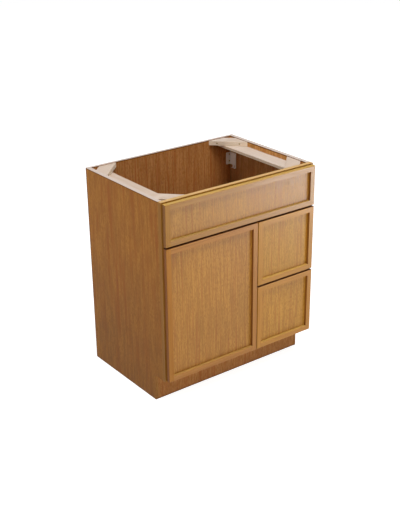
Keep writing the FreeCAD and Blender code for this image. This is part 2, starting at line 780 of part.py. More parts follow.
def make_bracket(name, low):
    bracket = new_body(name, (f"{opening_left} - {outboard}", f"{back_inner} - bracket_depth", low),
                       keep=False)
    flange = "bracket_depth - bracket_thickness"
    shape = [("0", "0"), ("bracket_thickness", "0"), ("bracket_thickness", flange),
             ("bracket_width", flange), ("bracket_width", "bracket_depth"), ("0", "bracket_depth")]
    sketch = outline(bracket, f"{name}_section", "XY", [shape], "finger_length")
    extrude(bracket, "Pad", f"{name}_angle", sketch, "bracket_height")
    round_edges(bracket, f"{name}_corners", "bracket_corner_radius",
                lambda edge: lies_at(edge, "x", "bracket_width") and len(edge.Vertexes) == 2
                and abs(edge.Vertexes[0].Point.z - edge.Vertexes[1].Point.z) < tolerance)
    for count, spot in enumerate(("0", "finger_spacing")):
        block(bracket, "Additive", f"{name}_finger_{count}",
              ("bracket_thickness", "finger_width", "finger_length"), ("0", spot, "0"))
        block(bracket, "Additive", f"{name}_hook_{count}",
              ("bracket_thickness + finger_hook", "finger_width", "bracket_thickness"), ("0", spot, "0"))
    return bracket


def make_brackets(back):
    brackets, screws = [], []
    levels = {name: f"{low} + runner_lift - bracket_thickness" for name, low in opening_lows.items()}
    levels["spare"] = f"{rail_lows['rail_middle']} + rail_width + spare_bracket_rise"
    for name, low in levels.items():
        bracket = make_bracket(f"{name}_bracket", low)
        fitted = pair(bracket)
        hole_x = f"{opening_left} - {outboard} + bracket_screw_inset"
        spots = [("left", hole_x), ("right", across(hole_x))]
        if name == "spare":
            fitted, spots = fitted[1:], spots[1:]
        for level, rise in (("low", "bracket_screw_low"), ("high", "bracket_screw_high")):
            height = f"{low} + finger_length + {rise}"
            drill(f"{name}_bracket_hole_{level}", bracket,
                  (hole_x, f"{back_inner} - bracket_thickness", height), to_back, "bracket_screw_length")
            for hand, at in spots:
                screws.append(screw(f"{name}_bracket_screw_{hand}_{level}", "bracket_screw_length",
                                    (at, f"{back_inner} - bracket_thickness", height), to_back, [back]))
        brackets += fitted
    group("rear_brackets", brackets)
    return screws


# Screws and bumpers.

def drill(name, body, at, rotation, length):
    """A hole for a screw in a body that stands square to the case, from a place in the case."""
    way = rotation.multVec(FreeCAD.Vector(0, 0, 1))
    start = [f"{text} - ({low}) - ({round(step, digits)}) * cut_overrun"
             for text, low, step in zip(at, places[body.Name], way)]
    rod(body, "Subtractive", name, "screw_radius + screw_fit",
        f"{length} + cut_overrun + screw_tip_room", start, rotation)


def screw(name, length, at, rotation, bodies):
    """A screw whose head's underside is at a place, and the holes for it."""
    shank = doc.addObject("Part::Cylinder", f"{name}_shank")
    bind(shank, "Radius", "screw_radius")
    bind(shank, "Height", length)
    head = doc.addObject("Part::Cone", f"{name}_head")
    bind(head, "Radius1", "screw_crown_radius")
    bind(head, "Radius2", "screw_head_radius")
    bind(head, "Height", "screw_head_height")
    bind(head, "Placement.Base.z", "-screw_head_height")
    whole = doc.addObject("Part::Fuse", name)
    whole.Base = shank
    whole.Tool = head
    place(whole, at, rotation)
    for body in bodies:
        drill(f"{name}_in_{body.Name}", body, at, rotation, length)
    return whole


def make_brace_screws(side, rail, back):
    """The right side takes its holes from the left one."""
    screws = []
    for quarter, (corner, (x, y)) in enumerate(brace_corners.items()):
        turn = turned((0, 0, 1), quarter * quarter_angle)
        rotation = turn * to_corner
        across_x, across_y = (round(value) for value in turn.multVec(FreeCAD.Vector(1, 0, 0))[:2])
        wall = rail if corner.startswith("front") else back
        for count, (u, v) in enumerate(brace_screw_places("-screw_head_height")):
            at = (f"{x} + ({across_x}) * ({u}) - ({across_y}) * ({v})",
                  f"{y} + ({across_y}) * ({u}) + ({across_x}) * ({v})",
                  f"{brace_low} + brace_thickness / 2")
            towards_side = (count == 0) == (across_y == 0)
            bodies = [wall] if not towards_side else [side] if corner.endswith("left") else []
            screws.append(screw(f"brace_screw_{corner}_{count}", "brace_screw_length", at, rotation,
                                bodies))
    return screws


def make_false_front_screws(rails, front_rails):
    """From behind the frame's rails into the top and bottom rails of the false front."""
    screws = []
    levels = {"top": f"{false_low} + false_height - false_screw_inset",
              "bottom": f"{false_low} + false_screw_inset"}
    length = "frame_thickness + bumper_gap + front_screw_bite"
    for level, height in levels.items():
        for hand, sign in (("left", "-"), ("right", "")):
            at = (f"{sign}false_screw_spread / 2", frame_back, height)
            screws.append(screw(f"false_screw_{level}_{hand}", length, at, to_front,
                                [rails[level], front_rails[level]]))
    return screws


def make_bumpers():
    """Discs on the frame behind the corners of the fronts, a little thinner where a front moves."""
    thin = "bumper_gap - bumper_clearance"
    false_right = f"{false_x} + {false_width} - bumper_inset"
    near_column = f"{column_x} - column_gap / 2 - bumper_inset"
    past_column = f"{drawer_x} + bumper_inset"
    spots = []
    for x in (f"{false_x} + bumper_inset", false_right):
        spots += [(x, f"{false_low} + bumper_inset", "bumper_gap"),
                  (x, f"{false_low} + false_height - bumper_inset", "bumper_gap")]
    spots += [(near_column, f"{fronts_low} + bumper_inset", thin),
              (near_column, f"{doors_top} - bumper_inset", thin)]
    for x in (past_column, false_right):
        for z in (f"{fronts_low} + bumper_inset", f"{lower_top} - bumper_inset",
                  f"{upper_low} + bumper_inset", f"{doors_top} - bumper_inset"):
            spots.append((x, z, thin))
    discs = []
    for count, (x, z, thickness) in enumerate(spots):
        disc = doc.addObject("Part::Cylinder", f"bumper_{count}")
        bind(disc, "Radius", "bumper_radius")
        bind(disc, "Height", thickness)
        place(disc, (x, frame_front, z), to_front)
        discs.append(disc)
    group("bumpers", discs)


make_case()
make_braces()
make_face_frame()
make_front("false_front", false_x, false_low, false_width, "false_height")
door_stile, door_panel = make_front("door", false_x, fronts_low, "door_width",
                                    f"({doors_top} - {fronts_low})")
bore_for_cups(door_stile)
bore_for_cups(door_panel)
_, panel_1 = make_front("drawer_1_front", drawer_x, upper_low, drawer_width, f"({doors_top} - {upper_low})")
_, panel_2 = make_front("drawer_2_front", drawer_x, fronts_low, drawer_width, "lower_front_height")
make_box("drawer_1", panel_1)
make_box("drawer_2", panel_2)

made = {body.Name: body for body in nodes}
case_screws = make_brace_screws(made["side_left"], made["rail_top"], made["back_panel"])
case_screws += make_hinges(made["stile_left"])
case_screws += make_runners([made["stile_centre"], made["stile_right"]])
case_screws += make_brackets(made["back_panel"])
case_screws += make_false_front_screws({"top": made["rail_top"], "bottom": made["rail_middle"]},
                                       {"top": made["false_front_rail_top"],
                                        "bottom": made["false_front_rail_bottom"]})
group("case_screws", case_screws)
make_bumpers()

# Every object has to be sound before anything is written.
doc.recompute()
for thing in doc.Objects:
    if any(word in state for state in thing.State for word in ("Invalid", "Error")):
        raise RuntimeError(f"{thing.Label}: {thing.State}")
    shape = getattr(thing, "Shape", None)
    if shape is not None and not thing.isDerivedFrom("App::Plane") and not shape.isNull():
        if not shape.isValid():
            raise RuntimeError(f"{thing.Label}: the shape is not valid")

os.makedirs("parts", exist_ok=True)
for node in nodes:
    if node.Shape.isNull() or node.Shape.Volume <= 0:
        raise RuntimeError(f"{node.Label}: there is no solid")
    node.Shape.exportStep(f"parts/{node.Label}.step")
print(len(nodes), "nodes,", sum(len(node.Shape.Solids) for node in nodes), "solids")
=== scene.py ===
import math

import bmesh
import bpy
import numpy as np
from mathutils import Matrix, Vector


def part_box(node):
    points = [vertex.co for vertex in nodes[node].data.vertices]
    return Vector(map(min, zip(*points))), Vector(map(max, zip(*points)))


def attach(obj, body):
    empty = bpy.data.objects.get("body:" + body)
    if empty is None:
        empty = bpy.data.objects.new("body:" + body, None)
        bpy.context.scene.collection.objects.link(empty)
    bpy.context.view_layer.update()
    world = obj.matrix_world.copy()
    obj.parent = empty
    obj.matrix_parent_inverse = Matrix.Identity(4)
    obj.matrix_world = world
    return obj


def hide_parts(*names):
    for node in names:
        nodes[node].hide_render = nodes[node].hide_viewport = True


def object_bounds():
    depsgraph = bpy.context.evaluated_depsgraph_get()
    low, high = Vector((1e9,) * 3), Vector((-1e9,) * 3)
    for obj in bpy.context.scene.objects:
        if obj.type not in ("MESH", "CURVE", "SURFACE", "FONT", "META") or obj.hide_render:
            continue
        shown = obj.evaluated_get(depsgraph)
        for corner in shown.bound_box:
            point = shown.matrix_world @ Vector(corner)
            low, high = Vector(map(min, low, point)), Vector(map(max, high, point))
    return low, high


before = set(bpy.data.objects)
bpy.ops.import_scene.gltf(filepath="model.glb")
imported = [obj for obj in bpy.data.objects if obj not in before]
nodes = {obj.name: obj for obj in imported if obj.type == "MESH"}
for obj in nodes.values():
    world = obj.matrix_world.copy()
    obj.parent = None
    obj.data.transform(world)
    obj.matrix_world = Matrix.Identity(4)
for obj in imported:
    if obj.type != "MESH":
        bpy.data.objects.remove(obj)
cadLow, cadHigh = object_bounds()
print("frame loaded,", len(nodes), "nodes")


def linear(red, green, blue):
    # a screen colour of 0 to 255 turned to linear light, by the sRGB formula
    scaled = [channel / 255 for channel in (red, green, blue)]
    return tuple(c / 12.92 if c <= 0.04045 else ((c + 0.055) / 1.055) ** 2.4 for c in scaled) + (1.0,)


# materials

noiseSpan = (0.3, 0.7)  # where nearly all values of a noise lie


class Value:
    # a number in a material's node tree: sums, products and comparisons add Math nodes to the tree
    def __init__(self, finish, socket):
        self.finish = finish
        self.socket = socket

    def math(self, operation, *others):
        return self.finish.node("ShaderNodeMath", {"operation": operation}, [self, *others])

    def __add__(self, other):
        return self.math("ADD", other)

    def __sub__(self, other):
        return self.math("SUBTRACT", other)

    def __mul__(self, other):
        return self.math("MULTIPLY", other)

    def __gt__(self, other):
        return self.math("GREATER_THAN", other)

    def __lt__(self, other):
        return self.math("LESS_THAN", other)


class Finish:
    # one material: node adds a node to its tree, and feed joins a value to its Principled shader
    def __init__(self, name, **fixed):
        self.material = bpy.data.materials.new(name)
        self.material.use_nodes = True
        self.tree = self.material.node_tree
        self.shader = self.tree.nodes["Principled BSDF"]
        for socket, value in fixed.items():
            self.shader.inputs[socket].default_value = value

    def node(self, kind, settings, inputs, output=0):
        made = self.tree.nodes.new(kind)
        for key, value in settings.items():
            setattr(made, key, value)
        pairs = inputs.items() if isinstance(inputs, dict) else enumerate(inputs)
        for key, value in pairs:
            if isinstance(value, Value):
                self.tree.links.new(value.socket, made.inputs[key])
            else:
                made.inputs[key].default_value = value
        return Value(self, made.outputs[output])

    def feed(self, socket, value):
        self.tree.links.new(value.socket, self.shader.inputs[socket])

    def split(self, vector):
        return [self.node("ShaderNodeSeparateXYZ", {}, [vector], axis) for axis in "XYZ"]

    def join(self, x, y, z):
        return self.node("ShaderNodeCombineXYZ", {}, [x, y, z])

    def place(self):
        # the object's own coordinates, in metres
        return self.split(self.node("ShaderNodeTexCoord", {}, [], "Object"))

    def normal(self):
        return self.split(self.node("ShaderNodeNewGeometry", {}, [], "Normal"))

    def noise(self, place, perMetre, detail=2.0):
        # soft noise, with its changes per metre given for each direction
        scaled = self.join(*(part * count for part, count in zip(place, perMetre)))
        return self.node("ShaderNodeTexNoise", {"noise_dimensions": "3D"},
                         {"Vector": scaled, "Scale": 1.0, "Detail": detail, "Roughness": 0.5})

    def smooth(self, value, low, high, start=0.0, end=1.0):
        return self.node("ShaderNodeMapRange", {"interpolation_type": "SMOOTHSTEP"},
                         {"Value": value, "From Min": low, "From Max": high, "To Min": start, "To Max": end})

    def average(self, first, second, share):
        # of two values, with the share of the first
        return first * share + second * (1 - share)

    def blend(self, factor, first, second, kind="MIX"):
        # of two colours, whose sockets on the Mix node share their names with others and go by number
        return self.node("ShaderNodeMix", {"data_type": "RGBA", "blend_type": kind},
                         {"Factor": factor, 6: first, 7: second}, 2)

    def tinted(self, colour, shade, tint=(1.0, 1.0, 1.0)):
        # a colour times a shade that varies and a tint that doesn't
        return self.blend(1.0, colour, self.join(*(shade * share for share in tint)), "MULTIPLY")

    def roughen(self, value, span, middle, spread):
        # roughness that passes from a little under its middle to a little over it along a span
        self.feed("Roughness", self.smooth(value, *span, middle - spread[0], middle + spread[1]))

    def bump(self, height, strength, distance):
        normal = self.node("ShaderNodeBump", {},
                           {"Strength": strength, "Distance": distance, "Height": height}, "Normal")
        self.feed("Normal", normal)


turned = (0.3, 0.9)  # how far a normal leans to an axis before a face counts as facing it
seedShift = (0.37, 0.11, 0.53)  # metres by which one seed more moves a grain: across, through, along


def alongGrain(finish, grain, seed):
    # coordinates turned so that the last one runs along the grain, and shifted for each board
    x, y, z = finish.place()
    turnedPlace = {"X": (z, y, x), "Y": (x, z, y), "Z": (x, y, z)}[grain]
    return [part + shift * seed for part, shift in zip(turnedPlace, seedShift)]


veneerFinish = {
    "light": (0.405, 0.182, 0.030, 1.0),
    "ground": (0.282, 0.114, 0.014, 1.0),
    "red": (0.290, 0.094, 0.012, 1.0),
    "fleck": (0.190, 0.068, 0.010, 1.0),
    "roughness": 0.42,
    "roughnessSpread": (0.06, 0.1),
    "polishSpan": (0.6, 1.3),
    "drift": (5, 5, 1.2),
    "bend": 0.014,
    "lines": (260, 90, 9),
    "streaks": (150, 40, 3.2),
    "groups": (24, 10, 1.5),
    "flecks": (200, 200, 48),
    "fleckDetail": 1.0,
    "clouds": (9, 9, 5),
    "lineShare": 0.45,
    "toneSpan": (0.39, 0.61),
    "streakSpan": (0.48, 0.64),
    "groupSpan": (0.35, 0.65),
    "groupRedness": (0.3, 0.85),
    "spotSpan": (0.54, 0.7),
    "spotShare": 0.6,
    "cloudShade": (0.95, 1.04),
    "fadeHeight": 0.8,
    "besideStringer": (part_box("stringer_right")[0][2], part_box("stringer_right")[1][2]),
    "darkEdge": (0.004, 0.007),
    "darkEdgeShare": 0.9,
    "lineHeight": 0.5,
    "bump": (0.25, 0.0004),
}


def veneer(name, seed, grain, tint, gloss, fade=0.9, paintedLightFace=None, plyAxis=None, darkEdges=()):
    # straight-grained stained veneer: groups of narrow reddish lines, short dark flecks, and painted shade
    # that darkens it a little towards the floor; the faces that look one given way get tints of their own
    # that paint light on them, and more of that painted light above the stringers
    look = veneerFinish
    finish = Finish(name, **{"Roughness": look["roughness"], "Specular IOR Level": gloss})
    across, through, along = alongGrain(finish, grain, seed)
    drift = finish.noise((across, through, along), look["drift"])
    bent = across + (drift - 0.5) * look["bend"]
    line = finish.noise((bent, through, along), look["lines"])
    streak = finish.noise((bent, through, along), look["streaks"])
    group = finish.noise((bent, through, along), look["groups"])
    fleck = finish.noise((across, through, along), look["flecks"], look["fleckDetail"])
    cloud = finish.noise((across, through, along), look["clouds"])
    tone = finish.smooth(finish.average(line, fleck, look["lineShare"]), *look["toneSpan"])
    colour = finish.blend(tone, look["ground"], look["light"])
    grouped = finish.smooth(group, *look["groupSpan"], *look["groupRedness"])
    colour = finish.blend(finish.smooth(streak, *look["streakSpan"]) * grouped, colour, look["red"])
    spots = finish.smooth(fleck, *look["spotSpan"]) * look["spotShare"]
    colour = finish.blend(spots, colour, look["fleck"])
    height = finish.place()[2]
    # painted shade: the colour darkens towards the floor, where less light falls
    paintedLowShade = finish.smooth(height, 0.0, look["fadeHeight"], fade, 1.0)
    shade = finish.smooth(cloud, *noiseSpan, *look["cloudShade"]) * paintedLowShade
    stainAndPaintedLight = (*tint, 1.0)
    # painted light: faces that look the given way take a lighter tint than the rest of the board, and those
    # above the stringers a lighter one still
    if paintedLightFace is not None:
        facing = finish.normal()["XYZ".index(paintedLightFace["axis"])] * paintedLightFace["sign"]
        other = (*paintedLightFace["tint"], 1.0)
        if "paintedLightAboveStringers" in paintedLightFace:
            upper = finish.smooth(height, *look["besideStringer"])
            other = finish.blend(upper, other, (*paintedLightFace["paintedLightAboveStringers"], 1.0))
        stainAndPaintedLight = finish.blend(finish.smooth(facing, *turned), stainAndPaintedLight, other)
    colour = finish.blend(1.0, finish.tinted(colour, shade), stainAndPaintedLight, "MULTIPLY")
    if darkEdges:
        colour = edgeStain(finish, colour, darkEdges)
    if plyAxis is not None:
        colour = plyEdge(finish, colour, plyAxis)
    finish.feed("Base Color", colour)
    finish.roughen(line + fleck, look["polishSpan"], look["roughness"], look["roughnessSpread"])
    finish.bump(line * look["lineHeight"] - spots, *look["bump"])
    return finish.material


def edgeStain(finish, colour, edges):
    # stain gathers in the last millimetres before a board's open edges; each edge is an axis, the
    # place where the board ends, and the direction from there into the board
    look = veneerFinish
    place = finish.place()
    gaps = [(place["XYZ".index(axis)] - end) * inward for axis, end, inward in edges]
    nearest = gaps[0]
    for gap in gaps[1:]:
        nearest = nearest.math("MINIMUM", gap)
    share = finish.smooth(nearest, *look["darkEdge"], look["darkEdgeShare"], 0.0)
    return finish.blend(share, colour, look["fleck"])


plyFinish = {
    "face": (0.498, 0.416, 0.357, 1.0),
    "warm": (0.450, 0.344, 0.263, 1.0),
    "sawn": (0.960, 0.800, 0.620, 1.0),
    "edge": (0.490, 0.410, 0.360, 1.0),
    "dark": (0.380, 0.250, 0.160, 1.0),
    "roughness": 0.62,
    "roughnessSpread": (0.06, 0.08),
    "fibres": (160, 160, 8),
    "fibreDetail": 3.0,
    "clouds": (12, 12, 4),
    "fibreShare": 0.6,
    "toneSpan": (0.35, 0.65),
    "uprightLean": 0.5,
    "layerWave": 0.3,
    "darkBand": (0.3, 0.9),
    "edgeFibres": (300, 300, 300),
    "edgeDarkShare": 0.12,
    "darkPliesPerMetre": 200,
    "topEdge": cadHigh[2] - 0.0012,
    "bump": (0.2, 0.0003),
}


def plyEdge(finish, colour, axis):
    # the bare layers on a panel's top edge, which are bands across its thickness
    look = plyFinish
    x, y, z = finish.place()
    thickness = x if axis == "X" else y
    fibre = finish.noise((x, y, z), look["edgeFibres"])
    band = (thickness * look["darkPliesPerMetre"] * math.tau + fibre).math("SINE")
    layers = finish.blend(finish.smooth(band, 0.0, 1.0) * look["edgeDarkShare"], look["edge"], look["dark"])
    return finish.blend(z > look["topEdge"], colour, layers)


def barePly(name, board, seed, grain, darkPlies, depth, tint=(1.0, 1.0, 1.0)):
    # unstained plywood lying flat: pale faces, and on its upright edges dark layers between light ones
    look = plyFinish
    finish = Finish(name, **{"Roughness": look["roughness"]})
    across, through, along = alongGrain(finish, grain, seed)
    fibre = finish.noise((across, through, along), look["fibres"], look["fibreDetail"])
    cloud = finish.noise((across, through, along), look["clouds"])
    tone = finish.smooth(finish.average(fibre, cloud, look["fibreShare"]), *look["toneSpan"])
    colour = finish.blend(tone, look["warm"], look["face"])
    low, high = (corner[2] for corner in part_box(board))
    turns = math.tau * darkPlies / (high - low)
    wave = fibre * look["layerWave"]
    band = ((finish.place()[2] - low) * turns + wave - math.pi / 2).math("SINE")
    layers = finish.blend(finish.smooth(band, *look["darkBand"]) * depth, look["sawn"], look["dark"])
    upright = finish.normal()[2].math("ABSOLUTE") < look["uprightLean"]
    colour = finish.blend(upright, finish.blend(1.0, colour, (*tint, 1.0), "MULTIPLY"), layers)
    finish.feed("Base Color", colour)
    finish.roughen(fibre, noiseSpan, look["roughness"], look["roughnessSpread"])
    finish.bump(fibre, *look["bump"])
    return finish.material


solidFinish = {
    "light": (0.330, 0.152, 0.028, 1.0),
    "dark": (0.275, 0.118, 0.018, 1.0),
    "rim": (0.480, 0.300, 0.122, 1.0),
    # the ledge colour darkens the faces that look up inside the recesses: a glaze that gathers there,
    # together with painted shade
    "ledge": (0.360, 0.214, 0.060, 1.0),
    # painted shade for faces that look sideways, where less light falls
    "paintedSideShade": (0.160, 0.058, 0.010, 1.0),
    # painted shade: the top faces of the door and drawer fronts, seen down the gaps, take this darkest
    # colour
    "deep": (0.090, 0.030, 0.005, 1.0),
    "roughness": 0.4,
    "roughnessSpread": (0.05, 0.08),
    "drift": (8, 8, 2),
    "bend": 0.02,
    "lines": (260, 260, 6),
    "lineDetail": 3.0,
    "broad": (40, 40, 2.2),
    "lineShare": 0.5,
    "toneSpan": (0.34, 0.66),
    "fadeHeight": 0.8,
    "fade": 0.9,
    "bump": (0.12, 0.0003),
}


def solidWood(name, seed, grain, gloss, paintedSideShade, top, tint=(1.0, 1.0, 1.0)):
    # smooth stained solid wood: faint long lines and slow changes of tone; top names the colour on faces
    # that look up, and the share before it is how much painted shade darkens those that look sideways
    look = solidFinish
    finish = Finish(name, **{"Roughness": look["roughness"], "Specular IOR Level": gloss})
    across, through, along = alongGrain(finish, grain, seed)
    drift = finish.noise((across, through, along), look["drift"])
    bent = across + (drift - 0.5) * look["bend"]
    line = finish.noise((bent, through, along), look["lines"], look["lineDetail"])
    broad = finish.noise((bent, through, along), look["broad"])
    tone = finish.smooth(finish.average(line, broad, look["lineShare"]), *look["toneSpan"])
    colour = finish.blend(tone, look["dark"], look["light"])
    sideways, _, upward = finish.normal()
    colour = finish.blend(finish.smooth(upward, *turned), colour, look[top])
    # painted shade on faces that look sideways
    sided = finish.smooth(sideways.math("ABSOLUTE"), *turned) * paintedSideShade
    colour = finish.blend(sided, colour, look["paintedSideShade"])
    # painted shade: the colour darkens towards the floor, where less light falls
    paintedLowShade = finish.smooth(finish.place()[2], 0.0, look["fadeHeight"], look["fade"], 1.0)
    finish.feed("Base Color", finish.tinted(colour, paintedLowShade, tint))
    finish.roughen(line, noiseSpan, look["roughness"], look["roughnessSpread"])
    finish.bump(line, *look["bump"])
    return finish.material


boxFinish = {
    "light": linear(228, 202, 160),
    "dark": linear(206, 172, 126),
    "roughness": 0.4,
    "roughnessSpread": (0.05, 0.08),
    "coat": 0.2,
    "coatRoughness": 0.25,
    "drift": (6, 6, 1.5),
    "bend": 0.05,
    "rings": (70, 70, 2),
    "lines": (380, 380, 10),
    "ringShare": 0.6,
    "toneSpan": (0.35, 0.65),
    "bump": (0.12, 0.0003),
}


def boxWood(name, seed, grain):
    # clear-coated pale hardwood of the drawer boxes
    look = boxFinish
    finish = Finish(name, **{"Roughness": look["roughness"], "Coat Weight": look["coat"],
                             "Coat Roughness": look["coatRoughness"]})
    across, through, along = alongGrain(finish, grain, seed)
    drift = finish.noise((across, through, along), look["drift"])
    bent = across + (drift - 0.5) * look["bend"]
    ring = finish.noise((bent, through, along), look["rings"])
    line = finish.noise((bent, through, along), look["lines"])
    tone = finish.smooth(finish.average(ring, line, look["ringShare"]), *look["toneSpan"])
    finish.feed("Base Color", finish.blend(tone, look["dark"], look["light"]))
    finish.roughen(line, noiseSpan, look["roughness"], look["roughnessSpread"])
    finish.bump(line, *look["bump"])
    return finish.material


steelFinish = {
    "rolled": (900, 30, 900),
    "marks": (60, 60, 60),
    "markDetail": 3.0,
    "rolledShare": 0.5,
    "markShade": (0.86, 1.0),
    "roughnessSpread": (0.07, 0.1),
    "bump": (0.08, 0.0002),
}


def platedSteel(name, colour, roughness):
    # plated sheet steel with faint rolling lines and handling marks
    look = steelFinish
    finish = Finish(name, **{"Metallic": 1.0, "Roughness": roughness})
    place = finish.place()
    rolled = finish.noise(place, look["rolled"])
    mark = finish.noise(place, look["marks"], look["markDetail"])
    finish.feed("Base Color", finish.tinted(colour, finish.smooth(mark, *noiseSpan, *look["markShade"])))
    wear = finish.average(rolled, mark, look["rolledShare"])
    finish.roughen(wear, noiseSpan, roughness, look["roughnessSpread"])
    finish.bump(rolled, *look["bump"])
    return finish.material


plasticFinish = {
    "grit": (1800, 1800, 1800),
    "gritDetail": 1.0,
    "clouds": (25, 25, 25),
    "cloudShade": (0.95, 1.02),
    "gloss": 0.45,
    "roughnessSpread": (0.05, 0.08),
    "bump": (0.15, 0.0001),
}


def mouldedPlastic(name, colour, roughness):
    # moulded plastic with a fine even texture
    look = plasticFinish
    finish = Finish(name, **{"Roughness": roughness, "Specular IOR Level": look["gloss"]})
    place = finish.place()
    grit = finish.noise(place, look["grit"], look["gritDetail"])
    cloud = finish.noise(place, look["clouds"])
    finish.feed("Base Color", finish.tinted(colour, finish.smooth(cloud, *noiseSpan, *look["cloudShade"])))
    finish.roughen(grit, noiseSpan, roughness, look["roughnessSpread"])
    finish.bump(grit, *look["bump"])
    return finish.material


# painting

def paint(name, material):
    target = nodes[name].data
    target.materials.clear()
    target.materials.append(material)


backEdge = ("Y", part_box("side_left")[1][1], -1)
bottomEdge = ("Z", cadLow[2], 1)
topEdge = ("Z", cadHigh[2], -1)
caseGloss = 0.05
# the tints of the inside faces, of the left side's front faces, of the floor panel and of the kick board
# paint light on boards that lie in shade
caseSettings = {
    # painted shade: side_left's lower fade darkens the bottom of the left side more than the other boards
    "side_left": {"seed": 1, "grain": "Z", "tint": (1.0, 0.92, 1.01), "fade": 0.7, "plyAxis": "X",
                  "darkEdges": (backEdge, bottomEdge, topEdge),
                  "paintedLightFace": {"axis": "Y", "sign": -1, "tint": (1.3, 1.41, 2.5)}},
    "side_right": {"seed": 2, "grain": "Z", "tint": (0.98, 0.89, 0.95), "plyAxis": "X",
                   "darkEdges": (backEdge, bottomEdge, topEdge),
                   "paintedLightFace": {"axis": "X", "sign": -1, "tint": (1.15, 1.3, 3.2),
                                 "paintedLightAboveStringers": (1.85, 2.1, 4.4)}},
    "back_panel": {"seed": 3, "grain": "Z", "tint": (0.98, 0.88, 0.95), "plyAxis": "Y",
                   "darkEdges": (topEdge,),
                   "paintedLightFace": {"axis": "Y", "sign": -1, "tint": (1.36, 1.34, 2.7)}},
    "floor_panel": {"seed": 4, "grain": "X", "tint": (1.36, 1.34, 2.7)},
    "kick_board": {"seed": 5, "grain": "Z", "tint": (1.17, 1.15, 2.1), "darkEdges": (bottomEdge,)},
}
plySettings = {
    # painted shade: stringer_left's tint makes it darker than the same ply of stringer_right
    "stringer_left": {"seed": 6, "grain": "Y", "darkPlies": 1, "depth": 0.4, "tint": (0.94, 0.90, 0.86)},
    "stringer_right": {"seed": 7, "grain": "Y", "darkPlies": 1, "depth": 0.4},
    "corner_braces": {"seed": 8, "grain": "X", "darkPlies": 4, "depth": 0.75, "tint": (0.97, 0.94, 0.91)},
}


def paintCase():
    for name, look in caseSettings.items():
        paint(name, veneer(f"{name}_veneer", gloss=caseGloss, **look))
    for name, look in plySettings.items():
        paint(name, barePly(f"{name}_ply", name, **look))


frameSettings = {
    "gloss": 0.06,
    # the share of painted shade on the frame's sideways faces
    "paintedSideShade": 0.2,
    # painted shade: the tint that darkens the rails seen through the gaps
    "behind": (0.4, 0.34, 0.28),
    "members": (("stile_left", 11, "Z"), ("stile_centre", 12, "Z"), ("stile_right", 13, "Z"),
                ("rail_top", 15, "X"), ("rail_middle", 16, "X"), ("rail_drawer", 17, "X"),
                ("rail_bottom", 18, "X")),
    "membersInGapShade": ("rail_middle", "rail_drawer"),
}


def paintFrame():
    # the two rails that show through the gaps between the fronts are painted darker, as painted shade
    look = frameSettings
    for name, seed, grain in look["members"]:
        tint = look["behind"] if name in look["membersInGapShade"] else (1.0, 1.0, 1.0)
        paint(name, solidWood(f"{name}_wood", seed, grain, look["gloss"], look["paintedSideShade"], "rim", tint))


# painted light: the panel and wood tints lift every front, the drawer fronts most, standing in for the
# diffuse light that the sheen lamp on the right, which gives only reflections, leaves out
frontSettings = {
    "false_front": {"seed": 21, "panel": (1.26, 1.32, 1.0), "wood": (1.2, 1.2, 1.0), "gloss": 0.34,
                    "leftGloss": 0.2, "leftPaintedSideShade": 0.85, "top": "ledge"},
    # the door and drawer fronts' top faces take the painted gap shade
    "door": {"seed": 26, "panel": (1.27, 1.29, 1.04), "wood": (1.36, 1.22, 1.0), "gloss": 0.27,
             "leftGloss": 0.15, "leftPaintedSideShade": 1.0, "top": "deep"},
    "drawer_1_front": {"seed": 31, "panel": (1.49, 1.66, 1.14), "wood": (1.58, 1.58, 1.2), "gloss": 0.24,
                       "leftGloss": 0.2, "leftPaintedSideShade": 0.0, "top": "deep"},
    "drawer_2_front": {"seed": 36, "panel": (1.48, 1.61, 1.22), "wood": (1.6, 1.55, 1.2), "gloss": 0.24,
                       "leftGloss": 0.2, "leftPaintedSideShade": 0.0, "top": "deep"},
}
paintedSideShadeShare = 0.85


def paintFronts():
    # four stained frames, each round a veneered panel; the left stile, which the camera sees from
    # its side, has a gloss and a share of painted side shade of its own
    for front, look in frontSettings.items():
        seed, gloss, top = look["seed"], look["gloss"], look["top"]
        paint(f"{front}_panel", veneer(f"{front}_veneer", seed, "Z", look["panel"], gloss))
        members = (("stile_left", "Z", look["leftGloss"], look["leftPaintedSideShade"], top),
                   ("stile_right", "Z", gloss, paintedSideShadeShare, top),
                   ("rail_top", "X", gloss, paintedSideShadeShare, top),
                   ("rail_bottom", "X", gloss, paintedSideShadeShare, "ledge"))
        for step, (part, *stains) in enumerate(members, 1):
            name = f"{front}_{part}"
            paint(name, solidWood(f"{name}_wood", seed + step, *stains, look["wood"]))


drawerSettings = {
    "seeds": {1: 56, 2: 62},
    "boards": (("side_left", "Y"), ("side_right", "Y"), ("front", "X"), ("back", "X"), ("bottom", "Y")),
}


def paintDrawers():
    for number, seed in drawerSettings["seeds"].items():
        for step, (part, grain) in enumerate(drawerSettings["boards"]):
            name = f"drawer_{number}_{part}"
            paint(name, boxWood(f"{name}_wood", seed + step, grain))


hardwareSettings = {
    "zinc": {"colour": linear(190, 192, 196), "roughness": 0.34},
    "nickel": {"colour": linear(200, 198, 192), "roughness": 0.24},
    "bracket": {"colour": linear(240, 234, 232), "roughness": 0.5},
    "runners": ("case_runners", "drawer_1_middle_runners", "drawer_2_middle_runners", "drawer_1_runners",
                "drawer_2_runners"),
    "hinges": ("hinge_cups", "hinge_arms", "hinge_links"),
}


def paintHardware():
    look = hardwareSettings
    zinc = platedSteel("zincPlate", **look["zinc"])
    nickel = platedSteel("nickelPlate", **look["nickel"])
    for name in look["runners"]:
        paint(name, zinc)
    for name in look["hinges"]:
        paint(name, nickel)
    paint("rear_brackets", mouldedPlastic("bracketPlastic", **look["bracket"]))


